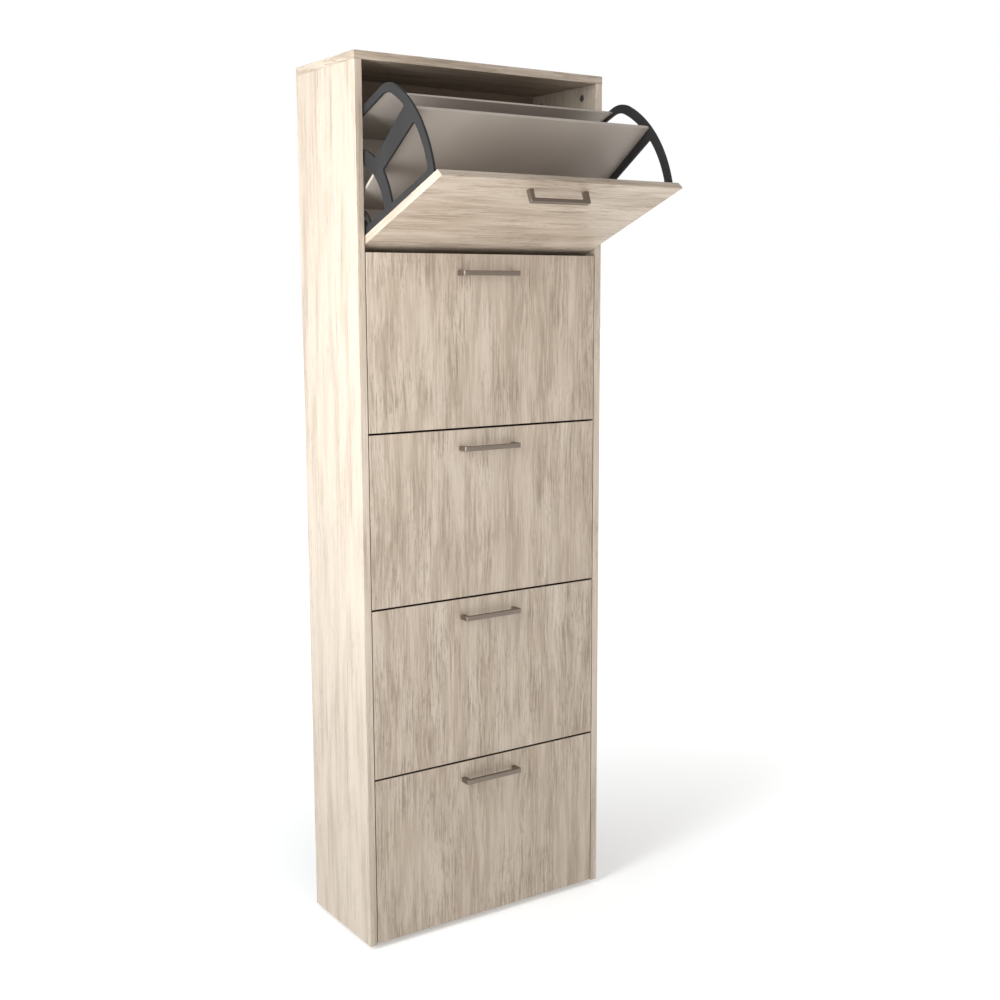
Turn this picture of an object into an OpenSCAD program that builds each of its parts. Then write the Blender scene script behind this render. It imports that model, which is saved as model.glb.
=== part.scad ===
// Tall shoe cabinet with five tilting flaps. Each flap is a door with two side
// arms and a tray of thin boards, and turns on pins in the side panels.
// Millimetres, +Z up. The origin is on the floor, under the middle of the
// carcass. X runs along the width and the doors face -Y.

/* [Cabinet] */
// Width over the side panels
cabinet_w = 590; // [480:5:720]
// Depth over the side panels
cabinet_d = 250; // [205:5:300]
// Height from the floor to the top
cabinet_h = 1800; // [1500:10:2200]
// Thickness of the carcass boards
board_t = 16; // [15:0.5:20]
// Thickness of the back panel
back_t = 3; // [2:0.5:4]
// Width of the step in the boards that holds the back panel's edge
rebate_w = 8; // [5:1:12]
// Height of the two rails behind the flaps
rail_h = 70; // [50:5:85]
// Height of the glides under the bottom panel
glide_h = 10; // [9.5:0.5:16]
// Radius of a glide
glide_r = 13; // [8:1:16]
// Number of flaps
flap_count = 5; // [4:1:5]

/* [Doors] */
// Thickness of a door
door_t = 16; // [13:0.5:19]
// Gap between two doors
door_gap = 4; // [3.5:0.5:8]
// Gap between a door and each side panel
door_side_gap = 2; // [1.5:0.5:4]
// Gap between the upper door and the top panel
door_top_gap = 3; // [2:0.5:6]
// Height of the lowest door over the lower ends of the side panels
door_lift = 2.5; // [2.3:0.1:6]
// Flat part of a door's upper edge, outside the slope that clears the next door
relief_land = 3; // [2:0.5:3]
// Drop of that slope towards the inside
relief_drop = 8; // [7:0.5:12]
// Angle between a closed and an open flap
open_angle = 69; // [50:1:72]

/* [Pivots] */
// Distance of the pivot behind the door's outer face
pivot_back = 28; // [25:0.5:30]
// Height of the pivot over the door's lower edge
pivot_up = 31; // [31:0.5:36]
// Radius of the pivot pin on an arm
pin_r = 4; // [3:0.25:5]
// Running gap round the pin
pin_gap = 0.06; // [0.03:0.01:0.1]
// Wall of the bush round the pin
bush_wall = 2; // [1:0.25:3]
// Depth of the bush in the side panel
bush_depth = 10; // [8:0.5:11]
// Radius of the bush's collar
collar_r = 9; // [8.5:0.5:12]
// Thickness of the bush's collar
collar_t = 1.5; // [1:0.25:2]
// Radius of the pin that stops the flap
stop_pin_r = 3; // [2:0.25:3.5]
// Distance of the stop pin from the pivot
stop_radius = 36; // [32:1:38]
// Angle of the stop pin over the line from the pivot to the back
stop_angle = 80; // [76:1:84]
// Gap between the stop pin and the slot that it runs in
stop_gap = 0.3; // [0.2:0.05:0.5]
// Depth of the stop pin in the side panel
stop_depth = 9; // [7:0.5:11]

/* [Side arms] */
// Thickness of an arm
arm_t = 5; // [4:0.5:10]
// Gap between an arm and the side panel
arm_gap = 3; // [2:0.5:4]
// Width of the arm's front bar, along the door
front_bar_w = 14; // [12:1:24]
// Height of the arm's lower bar
low_bar_h = 17; // [14:1:20]
// Width of the arm's rear bar
rear_bar_w = 16; // [12:1:20]
// Width of the curved rim
rim_w = 19; // [14:1:28]
// Distance of the rim's centre behind the pivot
rim_mid_y = 22; // [10:1:30]
// Height of the rim's centre over the pivot
rim_mid_z = 55; // [40:1:60]
// Drop of the rim's top below the door's upper edge
rim_drop = 19.5; // [17:0.5:40]
// Gap between the arm and the back panel
arm_back_gap = 5; // [3:0.5:10]
// Radius of the arm's upper rear corner
rear_corner_r = 70; // [30:1:80]
// Radius of the opening inside that corner
rear_opening_r = 50; // [15:1:60]
// Radius of the arm's lower rear corner
low_corner_r = 12; // [6:1:14]
// Distance from the pivot down to the arm's lower edge
arm_low = 14; // [12:0.5:14]
// Radius of the plate that holds the stop slot
gusset_r = 48; // [44:1:48]
// Inner radius of the inner arc
arc_in_r = 116; // [105:1:125]
// Width of the inner arc
arc_w = 29; // [20:1:34]
// Distance of the inner arc's centre behind the pivot
arc_mid_y = 20; // [0:1:24]
// Width of the spoke at the inner arc
spoke_low_w = 34; // [26:1:40]
// Width of the spoke at the rim
spoke_top_w = 46; // [30:1:50]
// Width of the flange that is screwed to the door
flange_w = 18; // [14:1:24]
// Thickness of that flange
flange_t = 4; // [3:0.5:5]
// Depth of the grooves that hold the boards
groove_depth = 2.5; // [1.5:0.5:3]

/* [Boards in a flap] */
// Thickness of the divider and the base board
tray_t = 6; // [4:0.5:7]
// Thickness of the rear board
rear_t = 4; // [3:0.5:5]
// Lean of the divider to the back
divider_lean = 14; // [8:1:18]
// Distance of the divider's foot behind the pivot
divider_foot = 58; // [55:1:66]
// Distance from the divider's upper edge to the rim's outer edge
divider_edge = 4; // [2:0.5:9]
// Height of the lower bar under the base board
base_margin = 5; // [3:0.5:6]

/* [Handles] */
// Distance between the handle's screws
handle_pitch = 128; // [96:32:192]
// Width of the handle's bar, along the door's height
handle_w = 10; // [8:0.5:14]
// Thickness of the handle's bar
handle_t = 8; // [6:0.5:10]
// How far the handle stands out from the door
handle_out = 25; // [20:1:35]
// Outer corner radius of the handle
handle_corner_r = 4; // [2:0.5:5]
// Distance from the door's upper edge to the handle's middle
handle_drop = 38; // [25:1:60]

/* [Fasteners] */
// Shank radius of the screws in the doors
wood_screw_r = 1.75; // [1.5:0.05:2]
// Depth of those screws in the door
wood_screw_depth = 11; // [8:0.5:12]
// Head radius of those screws
wood_head_r = 3.5; // [3:0.25:4]
// Shank radius of the handle screws
handle_screw_r = 2; // [1.5:0.25:2.5]
// Depth of the handle screws in the handle
handle_screw_depth = 8; // [6:0.5:12]
// Head radius of the handle screws
handle_head_r = 4; // [3.5:0.25:5]
// Clearance of a screw in the piece that it clamps
screw_gap = 0.25; // [0.1:0.05:0.5]
// Radius of a cam
cam_r = 7.5; // [6:0.5:7.5]
// Depth of a cam
cam_depth = 12.5; // [11:0.5:13]
// Distance from the joint to the middle of a cam
cam_reach = 24; // [20:1:34]
// Stem radius of a cam bolt
bolt_r = 3; // [2.5:0.25:3.5]
// Radius of the hole that the bolt's stem passes through
bolt_hole_r = 4; // [3.75:0.25:4.5]
// Depth of a cam bolt in the board that it is screwed into
bolt_depth = 11; // [8:0.5:12]
// Radius of a dowel
dowel_r = 4; // [3:0.5:5]
// Depth of a dowel in a board's face
dowel_face_depth = 11; // [8:0.5:12]
// Depth of a dowel in a board's end
dowel_end_depth = 20; // [15:1:25]
// Radius of the wall screw holes in the upper rail
wall_hole_r = 2.5; // [2:0.25:4]
// Distance between the wall screw holes
wall_pitch = 400; // [200:10:440]

/* [Hidden] */
$fn = 96;
eps = 0.01;
far = 3000;

oak = [0.80, 0.73, 0.64];
oak_inside = [0.62, 0.58, 0.53];
grey_board = [0.66, 0.63, 0.59];
arm_grey = [0.30, 0.30, 0.32];
nickel = [0.60, 0.57, 0.53];
steel = [0.75, 0.75, 0.77];
zinc = [0.68, 0.68, 0.70];
beech = [0.80, 0.66, 0.47];
bush_grey = [0.85, 0.85, 0.83];
glide_black = [0.12, 0.12, 0.12];

// Carcass
half_w = cabinet_w / 2;
inner_x = half_w - board_t;
front_y = -cabinet_d / 2;
back_y = cabinet_d / 2;
back_face = back_y - back_t;
side_top = cabinet_h - board_t;
board_mid_x = half_w - board_t / 2;
rail_front = back_face - board_t;
rail_mid_y = back_face - board_t / 2;

// Doors
door_half_w = inner_x - door_side_gap;
door_bottom = glide_h + door_lift;
door_space = side_top - door_top_gap - door_bottom;
door_h = (door_space - (flap_count - 1) * door_gap) / flap_count;
door_pitch = door_h + door_gap;

// A flap's own frame has its origin on the pivot, with the flap closed
pivot_y = front_y + pivot_back;
door_outer = -pivot_back;
door_inner = door_outer + door_t;
door_low = -pivot_up;
door_top = door_h - pivot_up;
handle_z = door_top - handle_drop;

// Arms
arm_out_x = inner_x - arm_gap;
arm_in_x = arm_out_x - arm_t;
arm_reach = back_face - pivot_y - arm_back_gap;
rim_r = door_top - rim_drop - rim_mid_z;
arm_rear = min(arm_reach, rim_mid_y + rim_r);
low_bar_z = -arm_low;
// Centre of the upper rear corner's round
corner_y = arm_rear - rear_corner_r;
corner_z = rim_mid_z + sqrt(max(0, pow(rim_r - rear_corner_r, 2) - pow(corner_y - rim_mid_y, 2)));
// Centre of the opening's round inside that corner
opening_y = arm_rear - rear_bar_w - rear_opening_r;
opening_z = rim_mid_z + sqrt(max(0, pow(rim_r - rim_w - rear_opening_r, 2) - pow(opening_y - rim_mid_y, 2)));
flange_low = door_low + 10;
flange_top = door_top - rim_drop - 12;
arm_screw_z = [flange_low + 25, (flange_low + flange_top) / 2, flange_top - 25];
arm_screw_x = arm_in_x - flange_w / 2;

// Boards in a flap
base_z = low_bar_z + base_margin;
base_top = base_z + tray_t;
board_half_w = arm_in_x + groove_depth;
flange_face = door_inner + flange_t;
rear_groove_y = arm_rear - (rear_bar_w + rear_t) / 2;
rear_top = corner_z - 2.5;
// Length of the divider up to the rim
lean_y = sin(divider_lean);
lean_z = cos(divider_lean);
to_foot = [divider_foot - rim_mid_y, -rim_mid_z];
foot_dot = to_foot[0] * lean_y + to_foot[1] * lean_z;
foot_sq = to_foot * to_foot;
divider_len = -foot_dot + sqrt(pow(foot_dot, 2) - foot_sq + pow(rim_r - divider_edge, 2));

// Joints of the carcass: places along the depth, and each rail's middle height
top_cam_y = [-0.3 * cabinet_d, 0.3 * cabinet_d];
top_dowel_y = [-0.2 * cabinet_d, 0.2 * cabinet_d];
bottom_front = pivot_y + 30;
bottom_cam_y = [bottom_front + 52, back_face - 52];
bottom_dowel_y = [bottom_front + 28, back_face - 28];
bottom_mid_z = glide_h + board_t / 2;
top_rail_z = side_top - rail_h / 2;
middle_flap = 3;
middle_rail_z = pivot_z(middle_flap) + door_top - rail_h / 2;
rail_heights = [top_rail_z, middle_rail_z];
rail_dowel_out = 22;

carcass_pieces = ["side_panel_left", "side_panel_right", "top_panel", "bottom_panel", "back_panel",
    "top_rail", "middle_rail", "cams", "cam_bolts", "dowels", "pivot_bushes", "stop_pins", "glides"];
flap_pieces = ["door", "arm_left", "arm_right", "divider", "rear_board", "base_board",
    "handle", "handle_screws", "arm_screws"];

// Flaps are numbered from the top
function pivot_z(n) = door_bottom + pivot_up + (flap_count - n) * door_pitch;
// The upper flap stands open
function flap_angle(n) = n == 1 ? open_angle : 0;

// ---- Helpers ----

// Repeats a right-hand shape on both sides
module both_sides() {
    children();
    mirror([1, 0, 0]) children();
}

// A rod along X, Y or Z from a point
module rod_x(from, length, r) {
    translate(from) rotate([0, 90, 0]) cylinder(h = length, r = r);
}
module rod_y(from, length, r) {
    translate(from) rotate([-90, 0, 0]) cylinder(h = length, r = r);
}
module rod_z(from, length, r) {
    translate(from) cylinder(h = length, r = r);
}

// Draws a profile in Y and Z and gives it a length along X
module along_x(from, to) {
    translate([from, 0, 0]) rotate([90, 0, 90]) linear_extrude(to - from) children();
}

// Puts a flap's piece where that flap hangs
module in_flap(n) {
    translate([0, pivot_y, pivot_z(n)]) rotate([flap_angle(n), 0, 0]) children();
}

// A box between two corners
module block(low, high) {
    translate(low) cube(high - low);
}

// ---- Carcass joints, right-hand side ----

// Holes for the dowels, cut from every board that they join
module dowel_shapes() {
    both_sides() {
        for (y = top_dowel_y)
            rod_z([board_mid_x, y, side_top - dowel_end_depth], dowel_end_depth + dowel_face_depth, dowel_r);
        for (y = bottom_dowel_y)
            rod_x([inner_x - dowel_end_depth, y, bottom_mid_z], dowel_end_depth + dowel_face_depth, dowel_r);
        for (z = rail_heights, out = [-1, 1])
            rod_x([inner_x - dowel_end_depth, rail_mid_y, z + out * rail_dowel_out],
                dowel_end_depth + dowel_face_depth, dowel_r);
    }
}

// Seats of the cams: in the side panels, under the bottom panel, behind the rails
module cam_shapes() {
    both_sides() {
        for (y = top_cam_y)
            rod_x([inner_x, y, side_top - cam_reach], cam_depth, cam_r);
        for (y = bottom_cam_y)
            rod_z([inner_x - cam_reach, y, glide_h], cam_depth, cam_r);
        for (z = rail_heights)
            rod_y([inner_x - cam_reach, back_face - cam_depth, z], cam_depth, cam_r);
    }
}

// The bolts' stems, from the joint to the cams, with a given radius
module bolt_stems(r) {
    both_sides() {
        for (y = top_cam_y)
            rod_z([board_mid_x, y, side_top - cam_reach], cam_reach, r);
        for (y = bottom_cam_y)
            rod_x([inner_x - cam_reach, y, bottom_mid_z], cam_reach, r);
        for (z = rail_heights)
            rod_x([inner_x - cam_reach, rail_mid_y, z], cam_reach, r);
    }
}

// The bolts' threads, in the boards that they are screwed into
module bolt_threads() {
    both_sides() {
        for (y = top_cam_y)
            rod_z([board_mid_x, y, side_top], bolt_depth, bolt_r);
        for (y = bottom_cam_y)
            rod_x([inner_x, y, bottom_mid_z], bolt_depth, bolt_r);
        for (z = rail_heights)
            rod_x([inner_x, rail_mid_y, z], bolt_depth, bolt_r);
    }
}

module carcass_holes() {
    dowel_shapes();
    cam_shapes();
    bolt_stems(bolt_hole_r);
    bolt_threads();
}

// The cross in a cam's face, at the origin with the face towards +Z
module cam_cross() {
    for (turn = [0, 90])
        rotate([0, 0, turn]) translate([-cam_r * 0.55, -0.8, -2]) cube([cam_r * 1.1, 1.6, 2 + eps]);
}

module cams() {
    color(zinc) difference() {
        cam_shapes();
        bolt_stems(bolt_hole_r);
        both_sides() {
            for (y = top_cam_y)
                translate([inner_x, y, side_top - cam_reach]) rotate([0, -90, 0]) cam_cross();
            for (y = bottom_cam_y)
                translate([inner_x - cam_reach, y, glide_h]) rotate([180, 0, 0]) cam_cross();
            for (z = rail_heights)
                translate([inner_x - cam_reach, back_face, z]) rotate([-90, 0, 0]) cam_cross();
        }
    }
}

module cam_bolts() {
    color(steel) {
        bolt_stems(bolt_r);
        bolt_threads();
    }
}

module dowels() {
    color(beech) dowel_shapes();
}

// ---- Carcass boards ----

module side_panel() {
    color(oak) difference() {
        block([inner_x, front_y, glide_h], [half_w, back_y, side_top]);
        block([inner_x - eps, back_face, glide_h - eps], [inner_x + rebate_w, back_y + eps, side_top + eps]);
        carcass_holes();
        for (n = [1 : flap_count]) {
            rod_x([inner_x, pivot_y, pivot_z(n)], bush_depth, pin_r + pin_gap + bush_wall);
            translate([0, pivot_y, pivot_z(n)]) rod_x([inner_x, stop_y(), stop_z()], stop_depth, stop_pin_r);
        }
    }
}

module side_panel_left() {
    mirror([1, 0, 0]) side_panel();
}

module top_panel() {
    color(oak) difference() {
        block([-half_w, front_y, side_top], [half_w, back_y, cabinet_h]);
        block([-inner_x - rebate_w, back_face, side_top - eps], [inner_x + rebate_w, back_y + eps, side_top + rebate_w]);
        carcass_holes();
    }
}

module bottom_panel() {
    color(oak_inside) difference() {
        block([-inner_x, bottom_front, glide_h], [inner_x, back_face, glide_h + board_t]);
        carcass_holes();
        glide_nails();
    }
}

module back_panel() {
    color(oak_inside) difference() {
        block([-inner_x - rebate_w, back_face, glide_h], [inner_x + rebate_w, back_y, side_top + rebate_w]);
        wall_holes();
    }
}

module rail(mid_z) {
    color(oak_inside) difference() {
        block([-inner_x, rail_front, mid_z - rail_h / 2], [inner_x, back_face, mid_z + rail_h / 2]);
        carcass_holes();
        wall_holes();
    }
}

// Wall screw holes through the upper rail and the back panel
module wall_holes() {
    both_sides() rod_y([wall_pitch / 2, rail_front - 1, top_rail_z], cabinet_d, wall_hole_r);
}

// ---- Pivots, stops and glides ----

function stop_y() = stop_radius * cos(stop_angle);
function stop_z() = stop_radius * sin(stop_angle);

module pivot_bushes() {
    bore_r = pin_r + pin_gap;
    color(bush_grey) both_sides() for (n = [1 : flap_count])
        translate([inner_x, pivot_y, pivot_z(n)]) difference() {
            union() {
                rod_x([0, 0, 0], bush_depth, bore_r + bush_wall);
                rod_x([-collar_t, 0, 0], collar_t, collar_r);
            }
            rod_x([-collar_t - 1, 0, 0], bush_depth + collar_t + 2, bore_r);
        }
}

module stop_pins() {
    color(steel) both_sides() for (n = [1 : flap_count])
        translate([0, pivot_y, pivot_z(n)])
            rod_x([arm_in_x + 1, stop_y(), stop_z()], arm_gap + arm_t - 1 + stop_depth, stop_pin_r);
}

// One near each corner of the bottom panel, and one under the middle of the cabinet
glide_places = concat([for (x = [-1, 1], y = [bottom_front + 14, back_face - 14]) [x * (inner_x - 20), y]], [[0, 0]]);

module glide_nails() {
    for (p = glide_places)
        rod_z([p[0], p[1], glide_h], 11, 1.5);
}

module glides() {
    color(glide_black) for (p = glide_places)
        translate([p[0], p[1], 0]) {
            cylinder(h = 2, r1 = glide_r - 2, r2 = glide_r);
            rod_z([0, 0, 2], glide_h - 2, glide_r);
        }
    color(steel) glide_nails();
}

// ---- Flap: door, handle and screws ----

module door_profile() {
    polygon([
        [door_outer, door_low],
        [door_inner, door_low],
        [door_inner, door_top - relief_drop],
        [door_outer + relief_land, door_top],
        [door_outer, door_top]
    ]);
}

module door() {
    color(oak) difference() {
        along_x(-door_half_w, door_half_w) door_profile();
        both_sides() {
            rod_y([handle_pitch / 2, door_outer - 1, handle_z], door_t + 2, handle_screw_r + screw_gap);
            for (z = arm_screw_z)
                rod_y([arm_screw_x, door_inner - wood_screw_depth, z], wood_screw_depth + 1, wood_screw_r);
        }
    }
}

// The handle's outline in X and depth: a bow with round outer corners
module handle_outline() {
    half = (handle_pitch + handle_w) / 2;
    mid = half - handle_corner_r;
    difference() {
        union() {
            translate([-half, 0]) square([2 * half, handle_out - handle_corner_r]);
            translate([-mid, 0]) square([2 * mid, handle_out]);
            for (x = [-mid, mid])
                translate([x, handle_out - handle_corner_r]) circle(handle_corner_r);
        }
        translate([-half + handle_w, -1]) square([2 * (half - handle_w), handle_out - handle_t + 1]);
    }
}

module handle() {
    color(nickel) difference() {
        translate([0, door_outer, handle_z + handle_w / 2]) rotate([180, 0, 0])
            linear_extrude(handle_w) handle_outline();
        both_sides()
            rod_y([handle_pitch / 2, door_outer - handle_screw_depth, handle_z], handle_screw_depth + 1, handle_screw_r);
    }
}

// A pan-head screw along Y, with its head's seat at the origin and its tip towards -Y
module pan_screw(r, length, head_r, head_h) {
    tip = r;
    difference() {
        union() {
            rod_y([0, -length + tip, 0], length - tip, r);
            translate([0, -length + tip, 0]) rotate([90, 0, 0]) cylinder(h = tip, r1 = r, r2 = r * 0.4);
            rotate([-90, 0, 0]) cylinder(h = head_h * 0.5, r = head_r);
            translate([0, head_h * 0.5, 0]) rotate([-90, 0, 0])
                cylinder(h = head_h * 0.5, r1 = head_r, r2 = head_r * 0.7);
        }
        for (turn = [0, 90])
            rotate([0, turn, 0]) translate([-head_r * 0.5, head_h * 0.4, -0.4]) cube([head_r, head_h, 0.8]);
    }
}

module handle_screws() {
    color(steel) both_sides() translate([handle_pitch / 2, door_inner, handle_z])
        pan_screw(handle_screw_r, door_t + handle_screw_depth, handle_head_r, 2.6);
}

module arm_screws() {
    color(steel) both_sides() for (z = arm_screw_z)
        translate([arm_screw_x, flange_face, z])
            pan_screw(wood_screw_r, flange_t + wood_screw_depth, wood_head_r, 2.4);
}

// ---- Flap: side arms ----

// What is outside a round, in the wedge between two directions from its centre
module corner_cut(centre, r, first, second) {
    reach = 4 * r;
    translate(centre) difference() {
        polygon([[0, 0], reach * first, reach * (first + second), reach * second]);
        circle(r);
    }
}

// The direction from the rim's centre to a point
function from_rim_mid(point) = (point - [rim_mid_y, rim_mid_z]) / norm(point - [rim_mid_y, rim_mid_z]);

// The whole outline, before it is cut into bars
module arm_blank() {
    difference() {
        intersection() {
            union() {
                translate([rim_mid_y, rim_mid_z]) circle(rim_r);
                translate([door_inner, low_bar_z]) square([arm_rear - door_inner, rim_mid_z - low_bar_z]);
            }
            translate([door_inner, low_bar_z]) square([arm_rear - door_inner, far]);
        }
        corner_cut([corner_y, corner_z], rear_corner_r, [1, 0], from_rim_mid([corner_y, corner_z]));
        corner_cut([arm_rear - low_corner_r, low_bar_z + low_corner_r], low_corner_r, [1, 0], [0, -1]);
    }
}

// The bar that follows the divider, from the inner arc to the rim
module spoke() {
    foot = [divider_foot, 0];
    along = [lean_y, lean_z];
    across = [lean_z, -lean_y];
    low = foot + along * arc_in_r;
    top = foot + along * divider_len;
    polygon([
        low - across * spoke_low_w / 2,
        low + across * spoke_low_w / 2,
        top + across * spoke_top_w / 2,
        top - across * spoke_top_w / 2
    ]);
}

module ring(mid, outer_r, width) {
    translate(mid) difference() {
        circle(outer_r);
        circle(outer_r - width);
    }
}

module arm_bars() {
    intersection() {
        arm_blank();
        union() {
            ring([rim_mid_y, rim_mid_z], rim_r, rim_w);
            ring([arc_mid_y, -5], arc_in_r + arc_w, arc_w);
            spoke();
            circle(gusset_r);
            translate([door_inner, low_bar_z]) square([front_bar_w, far]);
            translate([arm_rear - rear_bar_w, low_bar_z]) square([rear_bar_w, far]);
            translate([door_inner, low_bar_z]) square([far, low_bar_h]);
            // Carries the rim round the upper rear corner
            corner_cut([opening_y, opening_z], rear_opening_r, [1, 0], from_rim_mid([opening_y, opening_z]));
        }
    }
}

// The slot that the stop pin runs in, as the flap turns by the opening angle
module stop_slot() {
    r = stop_pin_r + stop_gap;
    end_angle = asin(r / stop_radius);
    reach = 2 * stop_radius;
    intersection() {
        ring([0, 0], stop_radius + r, 2 * r);
        polygon(concat([[0, 0]],
            [for (a = [stop_angle - open_angle - end_angle, stop_angle - open_angle / 2, stop_angle + end_angle])
                reach * [cos(a), sin(a)]]));
    }
}

// The divider's slanted profile, cut level at its foot
module divider_profile() {
    difference() {
        translate([divider_foot, 0]) rotate(-divider_lean)
            translate([-tray_t / 2, -2 * tray_t]) square([tray_t, divider_len + 2 * tray_t]);
        translate([0, base_top - far]) square([far, far]);
    }
}

module base_profile() {
    translate([flange_face, base_z]) square([rear_groove_y + rear_t - flange_face, tray_t]);
}

module rear_profile() {
    translate([rear_groove_y, base_top]) square([rear_t, rear_top - base_top]);
}

// Right-hand arm
module arm() {
    color(arm_grey) difference() {
        union() {
            along_x(arm_in_x, arm_out_x) difference() {
                arm_bars();
                stop_slot();
            }
            block([arm_in_x - flange_w, door_inner, flange_low], [arm_out_x, flange_face, flange_top]);
            rod_x([arm_out_x, 0, 0], arm_gap + bush_depth - 0.5, pin_r);
        }
        along_x(arm_in_x - eps, board_half_w) {
            divider_profile();
            base_profile();
            rear_profile();
        }
        for (z = arm_screw_z)
            rod_y([arm_screw_x, door_inner - 1, z], flange_t + 2, wood_screw_r + screw_gap);
    }
}

module arm_left() {
    mirror([1, 0, 0]) arm();
}

// ---- Flap: boards ----

module divider() {
    color(grey_board) along_x(-board_half_w, board_half_w) divider_profile();
}

module rear_board() {
    color(grey_board) along_x(-board_half_w, board_half_w) rear_profile();
}

module base_board() {
    color(grey_board) along_x(-board_half_w, board_half_w) base_profile();
}

// ---- Assembly ----

side_panel_left();
side_panel();  // side_panel_right
top_panel();
bottom_panel();
back_panel();
rail(top_rail_z);  // top_rail
rail(middle_rail_z);  // middle_rail
cams();
cam_bolts();
dowels();
pivot_bushes();
stop_pins();
glides();
for (n = [1 : flap_count]) {
    flap = str("flap_", n, "_");
    in_flap(n) door();
    in_flap(n) arm_left();
    in_flap(n) arm();
    in_flap(n) divider();
    in_flap(n) rear_board();
    in_flap(n) base_board();
    in_flap(n) handle();
    in_flap(n) handle_screws();
    in_flap(n) arm_screws();
}
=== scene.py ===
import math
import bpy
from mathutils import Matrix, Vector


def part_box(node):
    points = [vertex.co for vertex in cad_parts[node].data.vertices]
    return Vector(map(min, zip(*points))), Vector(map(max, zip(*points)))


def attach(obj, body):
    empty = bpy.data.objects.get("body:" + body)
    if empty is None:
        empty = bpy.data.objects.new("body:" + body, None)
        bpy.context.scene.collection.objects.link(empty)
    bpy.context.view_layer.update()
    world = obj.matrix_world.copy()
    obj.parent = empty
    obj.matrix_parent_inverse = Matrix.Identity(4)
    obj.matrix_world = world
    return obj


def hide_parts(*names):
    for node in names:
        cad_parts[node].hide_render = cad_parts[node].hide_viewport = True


bl_info = {
    "name": "Shoe Cabinet",
    "version": (1, 0, 0),
    "blender": (4, 5, 0),
    "location": "3D Viewport > Sidebar > Shoe Cabinet",
    "description": "Finishes a tall shoe cabinet with five tilting flaps",
    "category": "Object",
}

import bmesh
import bpy
from bpy.props import FloatProperty, FloatVectorProperty, PointerProperty
from bpy.types import Operator, Panel, PropertyGroup
from mathutils import Matrix, Vector

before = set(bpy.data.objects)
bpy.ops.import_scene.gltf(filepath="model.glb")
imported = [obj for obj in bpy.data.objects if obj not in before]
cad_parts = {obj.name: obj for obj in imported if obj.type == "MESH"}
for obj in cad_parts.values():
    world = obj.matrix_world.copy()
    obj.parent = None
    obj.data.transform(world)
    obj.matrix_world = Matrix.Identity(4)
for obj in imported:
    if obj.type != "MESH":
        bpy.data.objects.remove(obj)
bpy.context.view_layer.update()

FLAPS = range(1, 6)
SIDES = ("left", "right")
# The upper flap stands open by this angle
OPEN_ANGLE = math.radians(69)
# Thickness of a side arm's plate
ARM_PLATE = 0.005
# The shortest edges that are rounded on the boards. Shorter ones belong to holes and notches
BOARD_EDGE_MIN, BACK_EDGE_MIN = 0.03, 0.1
# An edge that turns by more than the first angle is rounded, and one by more than the second is shaded sharp
ROUNDED_FROM, SHARP_FROM = math.radians(25), math.radians(35)
# Corners closer than this are one corner, and faces turned by less than this are one flat face
MERGE_DISTANCE, FLAT_WITHIN = 1e-5, math.radians(0.3)
# The camera: where it stands, its turn about Z from the front, rise above the level, roll, and focal length
CAMERA_PLACE = (-1.527685, -2.448698, 1.343391)
CAMERA_TURN, CAMERA_RISE, CAMERA_ROLL = (math.radians(v) for v in (-33.856, 8.641, -0.192))
CAMERA_LENS, CAMERA_SENSOR = 48.439, 36
# Half the side of the floor
FLOOR_REACH = 40
# Indices of the axes
X, Y, Z = range(3)
# Height from one door to the next
LOWEST_DOOR_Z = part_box("flap_5_door")[0].z
DOOR_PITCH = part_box("flap_4_door")[0].z - LOWEST_DOOR_Z


def linear(code):
    """A colour's linear values from its sRGB hex code."""
    values = [int(code[i : i + 2], 16) / 255 for i in (1, 3, 5)]
    return tuple(v / 12.92 if v <= 0.04045 else ((v + 0.055) / 1.055) ** 2.4 for v in values)


def length(name, description, default_mm, low_mm, high_mm):
    """A length that is stored in metres and written here in millimetres."""
    return FloatProperty(
        name=name, description=description, default=default_mm / 1000, min=low_mm / 1000, max=high_mm / 1000,
        unit="LENGTH", precision=4,
    )


def colour(name, description, code):
    return FloatVectorProperty(
        name=name, description=description, default=linear(code), size=3, min=0, max=1, subtype="COLOR"
    )


class ShoeCabinetSizes(PropertyGroup):
    board_edge: length("Board edges", "Radius of the edges of the oak boards and doors", 0.9, 0.2, 2)
    tray_edge: length("Tray edges", "Radius of the edges of the boards in a flap", 0.5, 0.1, 1.5)
    arm_edge: length("Arm edges", "Radius of the moulded edges of the side arms", 0.8, 0.2, 1.5)
    arm_corner: length("Arm corners", "Radius in the corners of the side arms' openings", 5, 1, 8)
    handle_edge: length("Handle edges", "Radius of the handles' edges", 0.9, 0.2, 2)
    band_width: length("Grain bands", "Width of the broad light and dark bands in the oak", 30, 15, 90)
    streak_width: length("Grain streaks", "Width of the grey streaks in the oak", 4.2, 3, 20)
    streak_length: length("Streak length", "Length of the grey streaks in the oak", 85, 30, 250)
    pore_width: length("Pores", "Width of the pores in the oak", 1.7, 0.5, 5)
    pore_length: length("Pore length", "Length of the pores in the oak", 26, 5, 80)


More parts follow.
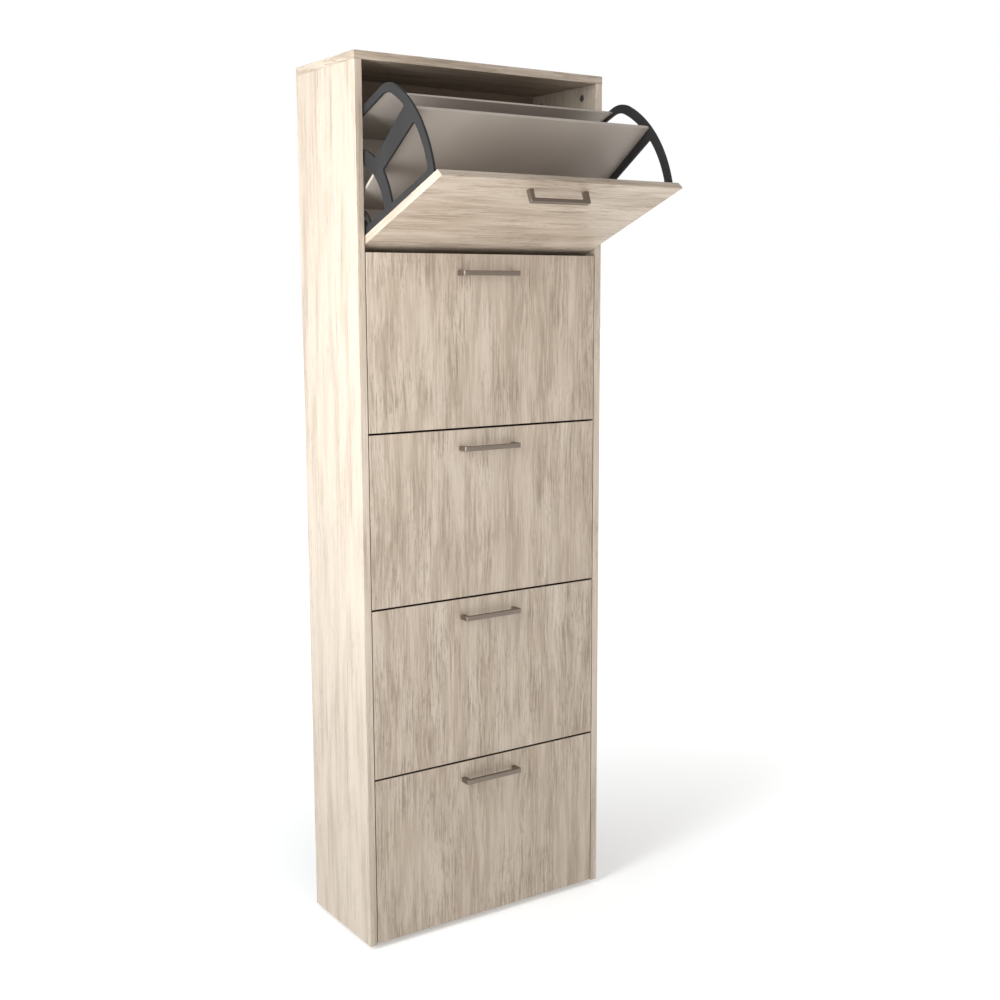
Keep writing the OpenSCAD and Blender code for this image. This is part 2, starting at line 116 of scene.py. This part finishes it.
class ShoeCabinetColours(PropertyGroup):
    oak_light: colour("Oak, light", "Lightest bands of the washed oak", "#C6B8A8")
    oak_mid: colour("Oak, middle", "Ground colour of the washed oak", "#B9A998")
    oak_dark: colour("Oak, dark", "Darker bands of the washed oak", "#A69583")
    oak_streak: colour("Oak, streaks", "Grey streaks and pores of the washed oak", "#7F7060")
    # The inside boards' brown is a plain board colour darkened with painted shade, for the shade inside the
    # cabinet
    inside: colour("Inside boards", "Boards behind the flaps", "#8A7767")
    # The back panel's dark brown is its printed face darkened with painted shade, for the shade at the back
    # of the cabinet
    back: colour("Back panel", "Printed face of the back panel", "#54483D")
    tray: colour("Flap boards", "Lacquered boards in the flaps", "#B1A79D")
    arm: colour("Side arms", "Moulded side arms", "#2A2929")
    nickel: colour("Handles", "Satin nickel", "#8F8378")
    steel: colour("Screws", "Zinc-plated steel", "#B9BBBE")
    zinc: colour("Cams", "Die-cast zinc", "#A3A4A8")
    beech: colour("Dowels", "Raw beech", "#C9A87B")
    bush: colour("Bushes", "White bushes in the side panels", "#DCDBD5")
    glide: colour("Glides", "Black glides under the cabinet", "#1D1D1E")


# ---- Materials ----


def node(tree, kind, inputs=None, **settings):
    """Adds a node. Each input is a value, or an output socket to link."""
    added = tree.nodes.new(kind)
    for key, value in settings.items():
        setattr(added, key, value)
    for key, value in (inputs or {}).items():
        if isinstance(value, bpy.types.NodeSocket):
            tree.links.new(value, added.inputs[key])
        else:
            added.inputs[key].default_value = value
    return added


def new_material(name):
    """An empty material, its node tree and its shader."""
    material = bpy.data.materials.new(name)
    material.use_nodes = True
    tree = material.node_tree
    tree.nodes.clear()
    shader = node(tree, "ShaderNodeBsdfPrincipled")
    node(tree, "ShaderNodeOutputMaterial", {"Surface": shader.outputs["BSDF"]})
    return material, tree, shader


def rgba(value):
    return (*value, 1.0)


def blend(tree, factor, first, second):
    """A colour between two colours."""
    mix = node(tree, "ShaderNodeMix", {0: factor, 6: first, 7: second}, data_type="RGBA")
    return mix.outputs[2]


def spread(tree, value, low, high, to_low=0.0, to_high=1.0):
    """Stretches the part of a value between low and high, and cuts off the rest."""
    inputs = {"Value": value, "From Min": low, "From Max": high, "To Min": to_low, "To Max": to_high}
    return node(tree, "ShaderNodeMapRange", inputs).outputs["Result"]


def math_node(tree, operation, first, second):
    return node(tree, "ShaderNodeMath", {0: first, 1: second}, operation=operation).outputs[0]


def vector_node(tree, operation, first, second):
    return node(tree, "ShaderNodeVectorMath", {0: first, 1: second}, operation=operation).outputs[0]


def noise(tree, place, size, detail=2.0, roughness=0.5):
    """Noise whose spots have the given size along X, Y and Z, in metres."""
    scaled = node(tree, "ShaderNodeMapping", {"Vector": place, "Scale": [1 / s for s in size]})
    texture = node(
        tree, "ShaderNodeTexNoise",
        {"Vector": scaled.outputs[0], "Scale": 1.0, "Detail": detail, "Roughness": roughness},
    )
    return texture.outputs["Fac"]


def bump(tree, shader, height, depth):
    """Raises the surface by a height between 0 and 1, over a depth in metres."""
    added = node(tree, "ShaderNodeBump", {"Height": height, "Distance": depth, "Strength": 1.0})
    tree.links.new(added.outputs["Normal"], shader.inputs["Normal"])


def washed_oak(name, grain, tilt=0.0, shift=(0.0, 0.0, 0.0), per_door=False, calm=False):
    """Melamine-faced board with a printed, white-washed oak pattern, pressed satin with slightly open pores.
    It gives soft beige bands along the board, greyer streaks in clusters, and short dark pores.
    grain is the axis that it runs along when the board stands upright, and tilt is how far the board leans.
    With per_door, each door is cut from another part of the sheet, so the pattern jumps at each door.
    With calm, the streaks are long and faint and the ground is paler."""
    sizes, colours = bpy.context.scene.shoe_cabinet_sizes, bpy.context.scene.shoe_cabinet_colours
    light, mid, dark, grey = map(
        rgba, (colours.oak_light, colours.oak_mid, colours.oak_dark, colours.oak_streak)
    )
    # How far the streaks are drawn out, and how strongly they show
    stretch, strength = (3.5, 0.4) if calm else (1.0, 0.62)
    material, tree, shader = new_material(name)

    def along(width, run):
        return [run if axis == grain else width for axis in range(3)]

    place = node(tree, "ShaderNodeTexCoord").outputs["Object"]
    upright = node(
        tree, "ShaderNodeMapping", {"Vector": place, "Rotation": (-tilt, 0, 0), "Location": shift}
    ).outputs[0]
    sheet = upright
    if per_door:
        height = node(tree, "ShaderNodeSeparateXYZ", {0: upright}).outputs["Z"]
        # The doors are counted from the middle of the gap under the lowest one
        above = math_node(tree, "SUBTRACT", height, LOWEST_DOOR_Z - 0.002 + shift[Z])
        door = math_node(tree, "FLOOR", math_node(tree, "DIVIDE", above, DOOR_PITCH), 0.0)
        jump = node(tree, "ShaderNodeCombineXYZ", {0: math_node(tree, "MULTIPLY", door, 0.83)}).outputs[0]
        sheet = vector_node(tree, "ADD", upright, jump)
    # The grain wanders sideways by a few millimetres along its run
    sway_size = [1 / s for s in along(0.09, 0.22)]
    sway_place = node(tree, "ShaderNodeMapping", {"Vector": sheet, "Scale": sway_size}).outputs[0]
    sway = node(tree, "ShaderNodeTexNoise", {"Vector": sway_place, "Scale": 1.0, "Detail": 1.0})
    centred = vector_node(tree, "SUBTRACT", sway.outputs["Color"], (0.5, 0.5, 0.5))
    wavy = vector_node(tree, "ADD", sheet, vector_node(tree, "MULTIPLY", centred, along(0.014, 0.0)))

    # Broad bands, streaks, the places where streaks gather, fine ruled lines, and pores
    bands = noise(tree, wavy, along(sizes.band_width, 9 * sizes.band_width), 2.0)
    streaks = noise(tree, wavy, along(sizes.streak_width, stretch * sizes.streak_length), 3.0, 0.55)
    clusters = noise(tree, wavy, along(0.05, 0.16), 1.0)
    lines = noise(tree, wavy, along(0.6 * sizes.streak_width, 3 * sizes.streak_length), 2.0)
    pores = noise(tree, wavy, along(sizes.pore_width, sizes.pore_length), 2.0, 0.6)

    # Dark to light ground, with dark and light lines over it
    ground = blend(tree, spread(tree, bands, 0.34, 0.58), dark, mid)
    pale = spread(tree, bands, 0.36, 0.60, 0.35, 0.95) if calm else spread(tree, bands, 0.52, 0.72, 0.0, 0.85)
    washed = blend(tree, pale, ground, light)
    ruled = blend(tree, spread(tree, lines, 0.46, 0.34, 0.0, 0.8 * strength), washed, dark)
    lined = blend(tree, spread(tree, streaks, 0.50, 0.66, 0.0, 0.6), ruled, light)
    # Grey streaks and open pores, both stronger where they gather
    gathered = spread(tree, clusters, 0.40, 0.62, 0.15 * strength, strength)
    grey_streaks = math_node(tree, "MULTIPLY", spread(tree, streaks, 0.49, 0.33), gathered)
    streaked = blend(tree, grey_streaks, lined, grey)
    gathered = spread(tree, clusters, 0.36, 0.60, 0.2 * strength, strength)
    open_pores = math_node(tree, "MULTIPLY", spread(tree, pores, 0.45, 0.34), gathered)
    printed = blend(tree, open_pores, streaked, grey)
    tree.links.new(printed, shader.inputs["Base Color"])
    tree.links.new(spread(tree, open_pores, 0.0, 0.8, 0.42, 0.62), shader.inputs["Roughness"])
    bump(tree, shader, math_node(tree, "SUBTRACT", 1.0, open_pores), 0.00012)
    shader.inputs["IOR"].default_value = 1.5
    return material


def inside_board(name, value):
    """Melamine or hardboard with a plain printed face, pressed matt.
    It gives a dull brown, darkened with painted shade in the colours it is given, with a faint grain along
    the board and small lighter fibres."""
    material, tree, shader = new_material(name)
    place = node(tree, "ShaderNodeTexCoord").outputs["Object"]
    grain = noise(tree, place, (0.09, 0.012, 0.012), 3.0, 0.6)
    fibres = noise(tree, place, (0.006, 0.002, 0.002), 2.0)
    dark, light = [v * 0.80 for v in value], [min(1.0, v * 1.15) for v in value]
    base = blend(tree, spread(tree, grain, 0.3, 0.7), rgba(dark), rgba(value))
    printed = blend(tree, spread(tree, fibres, 0.5, 0.75, 0.0, 0.5), base, rgba(light))
    tree.links.new(printed, shader.inputs["Base Color"])
    tree.links.new(spread(tree, grain, 0.3, 0.7, 0.62, 0.72), shader.inputs["Roughness"])
    bump(tree, shader, fibres, 0.00006)
    return material


def grey_lacquer(name):
    """Fibreboard with a sprayed, matt grey lacquer.
    It gives an even warm grey with an orange-peel face of about 2 mm and slightly darker cloudy places."""
    material, tree, shader = new_material(name)
    value = bpy.context.scene.shoe_cabinet_colours.tray
    place = node(tree, "ShaderNodeTexCoord").outputs["Object"]
    clouds = noise(tree, place, (0.12, 0.12, 0.12), 2.0)
    peel = noise(tree, place, (0.002, 0.002, 0.002), 1.0)
    base = blend(tree, spread(tree, clouds, 0.35, 0.65), rgba([v * 0.92 for v in value]), rgba(value))
    tree.links.new(base, shader.inputs["Base Color"])
    tree.links.new(spread(tree, peel, 0.3, 0.7, 0.46, 0.56), shader.inputs["Roughness"])
    bump(tree, shader, peel, 0.00004)
    return material


def moulded_plastic(name, value, gloss, grit, depth, shine=0.5):
    """Injection-moulded plastic from a spark-eroded tool.
    It gives an even colour, a fine grit that breaks up the highlights, and faintly paler rubbed places."""
    material, tree, shader = new_material(name)
    place = node(tree, "ShaderNodeTexCoord").outputs["Object"]
    grain = noise(tree, place, (grit, grit, grit), 2.0, 0.6)
    rubbed = noise(tree, place, (0.07, 0.07, 0.07), 3.0)
    pale = [min(1.0, v * 1.22 + 0.004) for v in value]
    base = blend(tree, spread(tree, rubbed, 0.45, 0.7, 0.0, 0.6), rgba(value), rgba(pale))
    speckled = blend(tree, spread(tree, grain, 0.55, 0.75, 0.0, 0.25), base, rgba(pale))
    tree.links.new(speckled, shader.inputs["Base Color"])
    tree.links.new(spread(tree, grain, 0.35, 0.65, gloss - 0.06, gloss + 0.08), shader.inputs["Roughness"])
    bump(tree, shader, grain, depth)
    shader.inputs["IOR"].default_value = 1.5
    shader.inputs["Specular IOR Level"].default_value = shine
    return material


def metal(name, value, gloss, size, depth):
    """Metal with a fine texture of the given size along X, Y and Z.
    It gives a soft sheen that breaks up into brushed lines, or into the grains of a cast or plated skin."""
    material, tree, shader = new_material(name)
    place = node(tree, "ShaderNodeTexCoord").outputs["Object"]
    lines = noise(tree, place, size, 2.0, 0.6)
    worn = noise(tree, place, (0.02, 0.02, 0.02), 2.0)
    base = blend(tree, spread(tree, lines, 0.3, 0.7), rgba([v * 0.86 for v in value]), rgba(value))
    tree.links.new(base, shader.inputs["Base Color"])
    textured = spread(tree, lines, 0.3, 0.7, gloss - 0.05, gloss + 0.05)
    rough = math_node(tree, "ADD", textured, spread(tree, worn, 0.4, 0.7, 0.0, 0.06))
    tree.links.new(rough, shader.inputs["Roughness"])
    bump(tree, shader, lines, depth)
    shader.inputs["Metallic"].default_value = 1.0
    return material


def raw_beech(name):
    """Turned beech without a finish. It gives a warm tan with short darker rays along the dowel."""
    material, tree, shader = new_material(name)
    value = bpy.context.scene.shoe_cabinet_colours.beech
    place = node(tree, "ShaderNodeTexCoord").outputs["Object"]
    rays = noise(tree, place, (0.004, 0.0008, 0.0008), 2.0)
    base = blend(tree, spread(tree, rays, 0.4, 0.7), rgba(value), rgba([v * 0.7 for v in value]))
    tree.links.new(base, shader.inputs["Base Color"])
    bump(tree, shader, rays, 0.00005)
    shader.inputs["Roughness"].default_value = 0.75
    return material


def finish(name, make, *settings):
    """The material of that name, made when it is first asked for."""
    return bpy.data.materials.get(name) or make(name, *settings)


# ---- Shapes ----


def merged(name):
    """A bmesh of a frame node, with its loose triangles joined into flat faces."""
    bm = bmesh.new()
    bm.from_mesh(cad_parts[name].data)
    bmesh.ops.remove_doubles(bm, verts=bm.verts, dist=MERGE_DISTANCE)
    bmesh.ops.dissolve_limit(bm, angle_limit=FLAT_WITHIN, verts=bm.verts, edges=bm.edges)
    return bm


def soften(bm, edges, radius, segments=3):
    bmesh.ops.bevel(
        bm, geom=edges, offset=radius, segments=segments, profile=0.5, affect="EDGES", material=-1,
        clamp_overlap=False, loop_slide=True,
    )


def sharp_edges(bm, longer_than=0.0):
    """Edges that turn enough to be rounded."""
    return [
        e for e in bm.edges
        if e.is_manifold and e.calc_face_angle() > ROUNDED_FROM and e.calc_length() > longer_than
    ]


def outline(bm, direction):
    """Edges between the faces that look along a direction and those across it."""
    def facing(face):
        return abs(face.normal.dot(direction))

    return [
        e for e in bm.edges
        if e.is_manifold and max(map(facing, e.link_faces)) > 0.99 and min(map(facing, e.link_faces)) < 0.3
    ]


def add_piece(name, bm, body, materials, by_face=None):
    """Makes the shape a finished piece that rides on a body and stands for the node of its name."""
    mesh = bpy.data.meshes.new(name)
    bm.normal_update()
    for face in bm.faces:
        face.material_index = by_face(face) if by_face else 0
        face.smooth = True
    for edge in bm.edges:
        edge.smooth = not (edge.is_manifold and edge.calc_face_angle() > SHARP_FROM)
    bm.to_mesh(mesh)
    bm.free()
    old_normals = mesh.attributes.get("custom_normal")
    if old_normals:
        mesh.attributes.remove(old_normals)
    for material in materials:
        mesh.materials.append(material)
    piece = bpy.data.objects.new("finished_" + name, mesh)
    bpy.context.scene.collection.objects.link(piece)
    even = piece.modifiers.new("Even shading", "WEIGHTED_NORMAL")
    even.keep_sharp = True
    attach(piece, body)
    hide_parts(name)


def dress(name, material):
    """Gives a frame node that keeps its shape its finish."""
    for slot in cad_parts[name].material_slots:
        slot.material = material


def tilt_of(flap):
    return OPEN_ANGLE if flap == 1 else 0.0


def up_of(flap):
    """The direction along a door's height."""
    return Matrix.Rotation(tilt_of(flap), 3, "X") @ Vector((0, 0, 1))


# ---- Operators ----


class SHOECABINET_OT_carcass(Operator):
    """Finish the boards of the carcass: side panels, top, bottom, back and rails"""

    bl_idname = "shoe_cabinet.carcass"
    bl_label = "Carcass Boards"

    def execute(self, context):
        edge = context.scene.shoe_cabinet_sizes.board_edge
        colours = context.scene.shoe_cabinet_colours
        upright = finish("washed_oak_upright", washed_oak, Z, 0.0, (0.0, 0.0, 0.0), False, True)
        across = finish("washed_oak_across", washed_oak, X, 0.0, (0.4, 0.2, 0.1))
        deep = finish("washed_oak_deep", washed_oak, Y, 0.0, (0.1, 0.3, 0.5))
        # The inside boards get a brown darkened with painted shade
        inside = finish("inside_melamine_painted_shade", inside_board, list(colours.inside))
        # The back panel gets its printed brown darkened with painted shade
        back = finish("printed_hardboard_painted_shade", inside_board, list(colours.back))
        for side in SIDES:
            name = "side_panel_" + side
            bm = merged(name)
            soften(bm, sharp_edges(bm, BOARD_EDGE_MIN), edge)
            add_piece(name, bm, "carcass", [upright])
        bm = merged("top_panel")
        soften(bm, sharp_edges(bm, BOARD_EDGE_MIN), edge)
        add_piece("top_panel", bm, "carcass", [across, deep], lambda f: int(abs(f.normal.x) > 0.7))
        # The bottom panel and the rails carry the inside brown with its painted shade
        for name in ("bottom_panel", "top_rail", "middle_rail"):
            bm = merged(name)
            soften(bm, sharp_edges(bm, BOARD_EDGE_MIN), edge * 0.6)
            add_piece(name, bm, "carcass", [inside])
        # The back panel's colour carries painted shade
        bm = merged("back_panel")
        soften(bm, sharp_edges(bm, BACK_EDGE_MIN), 0.0003, 2)
        add_piece("back_panel", bm, "carcass", [back])
        return {"FINISHED"}


class SHOECABINET_OT_doors(Operator):
    """Finish the five doors. The upper one has its grain across, and the others have it upright"""

    bl_idname = "shoe_cabinet.doors"
    bl_label = "Doors"

    def execute(self, context):
        edge = context.scene.shoe_cabinet_sizes.board_edge
        upright = finish("washed_oak_doors", washed_oak, Z, 0.0, (0.0, 0.1, 0.0), True)
        across = finish("washed_oak_across", washed_oak, X, 0.0, (0.4, 0.2, 0.1))
        open_face = finish("washed_oak_open_door", washed_oak, X, OPEN_ANGLE, (0.2, 0.0, 0.3))
        open_ends = finish("washed_oak_open_door_ends", washed_oak, Z, OPEN_ANGLE, (0.2, 0.1, 0.0))
        for flap in FLAPS:
            name = f"flap_{flap}_door"
            bm = merged(name)
            soften(bm, sharp_edges(bm, BOARD_EDGE_MIN), edge)
            # The edge bands have their grain along the edge
            if flap == 1:
                band = lambda f: int(abs(f.normal.x) > 0.7)
                add_piece(name, bm, "flap_1", [open_face, open_ends], band)
            else:
                band = lambda f: int(abs(f.normal.z) > 0.7)
                add_piece(name, bm, f"flap_{flap}", [upright, across], band)
        return {"FINISHED"}


class SHOECABINET_OT_side_arms(Operator):
    """Finish the moulded side arms of the flaps"""

    bl_idname = "shoe_cabinet.side_arms"
    bl_label = "Side Arms"

    def execute(self, context):
        sizes = context.scene.shoe_cabinet_sizes
        grey = list(context.scene.shoe_cabinet_colours.arm)
        # Polypropylene with talc, moulded, with a grit of about 1 mm
        plastic = finish("grained_polypropylene", moulded_plastic, grey, 0.6, 0.001, 0.00004, 0.25)
        allowance = 1e-4
        for flap in FLAPS:
            for side in SIDES:
                name = f"flap_{flap}_arm_{side}"
                bm = merged(name)
                # Edges through the whole plate, in the corners of its openings
                corners = [
                    e for e in sharp_edges(bm, ARM_PLATE - allowance)
                    if e.calc_length() < ARM_PLATE + allowance
                    and abs((e.verts[0].co - e.verts[1].co).x) > ARM_PLATE - allowance
                    and not e.is_convex
                ]
                soften(bm, corners, sizes.arm_corner, 4)
                bm.normal_update()
                soften(bm, outline(bm, Vector((1, 0, 0))), sizes.arm_edge, 2)
                add_piece(name, bm, f"flap_{flap}", [plastic])
        return {"FINISHED"}


class SHOECABINET_OT_flap_boards(Operator):
    """Finish the divider, rear board and base board of each flap"""

    bl_idname = "shoe_cabinet.flap_boards"
    bl_label = "Boards in the Flaps"

    def execute(self, context):
        lacquer = finish("grey_lacquered_fibreboard", grey_lacquer)
        for flap in FLAPS:
            for board in ("divider", "rear_board", "base_board"):
                name = f"flap_{flap}_{board}"
                bm = merged(name)
                soften(bm, sharp_edges(bm), context.scene.shoe_cabinet_sizes.tray_edge, 2)
                add_piece(name, bm, f"flap_{flap}", [lacquer])
        return {"FINISHED"}


class SHOECABINET_OT_handles(Operator):
    """Finish the bow handles"""

    bl_idname = "shoe_cabinet.handles"
    bl_label = "Handles"

    def execute(self, context):
        # Brushed along the bow: lines of about 0.4 mm, drawn this coarse so that they show
        grey = list(context.scene.shoe_cabinet_colours.nickel)
        nickel = finish("satin_nickel", metal, grey, 0.5, (0.03, 0.0004, 0.0004), 0.00001)
        for flap in FLAPS:
            name = f"flap_{flap}_handle"
            bm = merged(name)
            soften(bm, outline(bm, up_of(flap)), context.scene.shoe_cabinet_sizes.handle_edge)
            add_piece(name, bm, f"flap_{flap}", [nickel])
        return {"FINISHED"}


class SHOECABINET_OT_hardware(Operator):
    """Finish the fittings: screws, cams, bolts, dowels, bushes, stop pins and glides"""

    bl_idname = "shoe_cabinet.hardware"
    bl_label = "Fittings"

    def execute(self, context):
        colours = context.scene.shoe_cabinet_colours
        # Zinc-plated steel: bluish, bright, with crystals of about 1.5 mm
        crystals = (0.0015, 0.0015, 0.0015)
        plated = finish("zinc_plated_steel", metal, list(colours.steel), 0.3, crystals, 0.00001)
        # Die-cast zinc: duller, with a casting skin of about 0.8 mm
        cast = finish("die_cast_zinc", metal, list(colours.zinc), 0.48, (0.0008, 0.0008, 0.0008), 0.00003)
        # Drawn steel: bright, with lines along the pin
        drawn = finish("drawn_steel", metal, list(colours.steel), 0.2, (0.01, 0.0004, 0.0004), 0.00001)
        bush = finish("white_acetal", moulded_plastic, list(colours.bush), 0.38, 0.0008, 0.00001)
        glide = finish("black_polyethylene", moulded_plastic, list(colours.glide), 0.52, 0.0012, 0.00003)
        beech = finish("raw_beech", raw_beech)
        dress("cams", cast)
        dress("cam_bolts", plated)
        dress("dowels", beech)
        dress("pivot_bushes", bush)
        dress("stop_pins", drawn)
        dress("glides", glide)
        for flap in FLAPS:
            dress(f"flap_{flap}_handle_screws", plated)
            dress(f"flap_{flap}_arm_screws", plated)
        return {"FINISHED"}


class SHOECABINET_OT_stage(Operator):
    """Set up the floor, the lights, the white surroundings and the camera"""

    bl_idname = "shoe_cabinet.stage"
    bl_label = "Stage"

    def execute(self, context):
        scene = context.scene
        scene.view_settings.view_transform = "Standard"

        bm = bmesh.new()
        bmesh.ops.create_grid(bm, x_segments=1, y_segments=1, size=FLOOR_REACH)
        mesh = bpy.data.meshes.new("floor")
        bm.to_mesh(mesh)
        bm.free()
        floor = bpy.data.objects.new("floor", mesh)
        scene.collection.objects.link(floor)
        material, tree, shader = new_material("pale_floor")
        # Painted screed: white, matt, with faint cloudy places of half a metre
        place = node(tree, "ShaderNodeTexCoord").outputs["Object"]
        clouds = noise(tree, place, (0.5, 0.5, 0.5), 2.0)
        base = blend(tree, clouds, (0.86, 0.86, 0.85, 1), (0.9, 0.9, 0.9, 1))
        tree.links.new(base, shader.inputs["Base Color"])
        shader.inputs["Roughness"].default_value = 0.9
        shader.inputs["Specular IOR Level"].default_value = 0.1
        # Painted light: the floor glows white, though it is no lamp
        shader.inputs["Emission Color"].default_value = (1, 1, 1, 1)
        # The glow is dimmer near the cabinet, a painted shade around it, and brighter away from it, so that
        # the floor runs into the white surroundings without an edge
        away = node(tree, "ShaderNodeVectorMath", {0: place}, operation="LENGTH").outputs["Value"]
        tree.links.new(spread(tree, away, 0.4, 2.2, 0.3, 0.75), shader.inputs["Emission Strength"])
        mesh.materials.append(material)

        def soft_light(name, place, aim, width, height, power, tint):
            """A rectangular light at a place, turned to a point it aims at."""
            light = bpy.data.lights.new(name, "AREA")
            light.shape = "RECTANGLE"
            light.size, light.size_y = width, height
            light.energy = power
            light.color = tint
            lamp = bpy.data.objects.new(name, light)
            lamp.location = place
            lamp.rotation_mode = "QUATERNION"
            lamp.rotation_quaternion = (Vector(aim) - Vector(place)).to_track_quat("-Z", "Y")
            lamp.visible_camera = False
            scene.collection.objects.link(lamp)

        soft_light("light_far_left", (-4.0, -0.9, 2.4), (0, 0, 0.95), 2.2, 2.2, 100, (0.93, 0.975, 1.0))
        soft_light("light_strip_left", (-0.95, -0.42, 1.4), (0, -0.1, 1.4), 0.25, 1.2, 8, (0.93, 0.97, 1.0))
        soft_light("light_front", (-1.5, -4.0, 2.6), (0, 0, 1.0), 2.4, 2.4, 22, (1.0, 0.99, 0.98))

        # White all round for the eye, and a little dimmer as a light
        world = bpy.data.worlds.new("white_surroundings")
        world.use_nodes = True
        tree = world.node_tree
        tree.nodes.clear()
        path = node(tree, "ShaderNodeLightPath")
        strength = node(
            tree, "ShaderNodeMix", {0: path.outputs["Is Camera Ray"], 2: 0.5, 3: 1.0}, data_type="FLOAT"
        ).outputs[0]
        sky = node(tree, "ShaderNodeBackground", {"Color": (1, 1, 1, 1), "Strength": strength})
        node(tree, "ShaderNodeOutputWorld", {"Surface": sky.outputs[0]})
        scene.world = world

        camera_data = bpy.data.cameras.new("camera")
        camera_data.sensor_width = CAMERA_SENSOR
        camera_data.lens = CAMERA_LENS
        camera_data.clip_start, camera_data.clip_end = 0.05, 100
        camera = bpy.data.objects.new("camera", camera_data)
        turn, rise, roll = CAMERA_TURN, CAMERA_RISE, CAMERA_ROLL
        back = Vector((math.sin(turn) * math.cos(rise), -math.cos(turn) * math.cos(rise), math.sin(rise)))
        right = Vector((math.cos(turn), math.sin(turn), 0))
        up = back.cross(right)
        right, up = right * math.cos(roll) + up * math.sin(roll), up * math.cos(roll) - right * math.sin(roll)
        facing = Matrix((right, up, back)).transposed().to_4x4()
        camera.matrix_world = Matrix.Translation(CAMERA_PLACE) @ facing
        scene.collection.objects.link(camera)
        scene.camera = camera
        return {"FINISHED"}


STEPS = (
    SHOECABINET_OT_carcass,
    SHOECABINET_OT_doors,
    SHOECABINET_OT_side_arms,
    SHOECABINET_OT_flap_boards,
    SHOECABINET_OT_handles,
    SHOECABINET_OT_hardware,
    SHOECABINET_OT_stage,
)


class SHOECABINET_PT_main(Panel):
    bl_idname = "SHOECABINET_PT_main"
    bl_label = "Shoe Cabinet"
    bl_space_type = "VIEW_3D"
    bl_region_type = "UI"
    bl_category = "Shoe Cabinet"

    def draw(self, context):
        layout = self.layout
        for step in STEPS:
            layout.operator(step.bl_idname)
        for group in (context.scene.shoe_cabinet_sizes, context.scene.shoe_cabinet_colours):
            box = layout.box()
            for name in group.__annotations__:
                box.prop(group, name)


CLASSES = (ShoeCabinetSizes, ShoeCabinetColours, *STEPS, SHOECABINET_PT_main)


def register():
    for item in CLASSES:
        bpy.utils.register_class(item)
    bpy.types.Scene.shoe_cabinet_sizes = PointerProperty(type=ShoeCabinetSizes)
    bpy.types.Scene.shoe_cabinet_colours = PointerProperty(type=ShoeCabinetColours)


def unregister():
    del bpy.types.Scene.shoe_cabinet_colours
    del bpy.types.Scene.shoe_cabinet_sizes
    for item in reversed(CLASSES):
        bpy.utils.unregister_class(item)


def main():
    register()
    bpy.ops.shoe_cabinet.stage()
    bpy.ops.shoe_cabinet.carcass()
    bpy.ops.shoe_cabinet.doors()
    bpy.ops.shoe_cabinet.side_arms()
    bpy.ops.shoe_cabinet.flap_boards()
    bpy.ops.shoe_cabinet.handles()
    bpy.ops.shoe_cabinet.hardware()


if __name__ == "__main__":
    main()
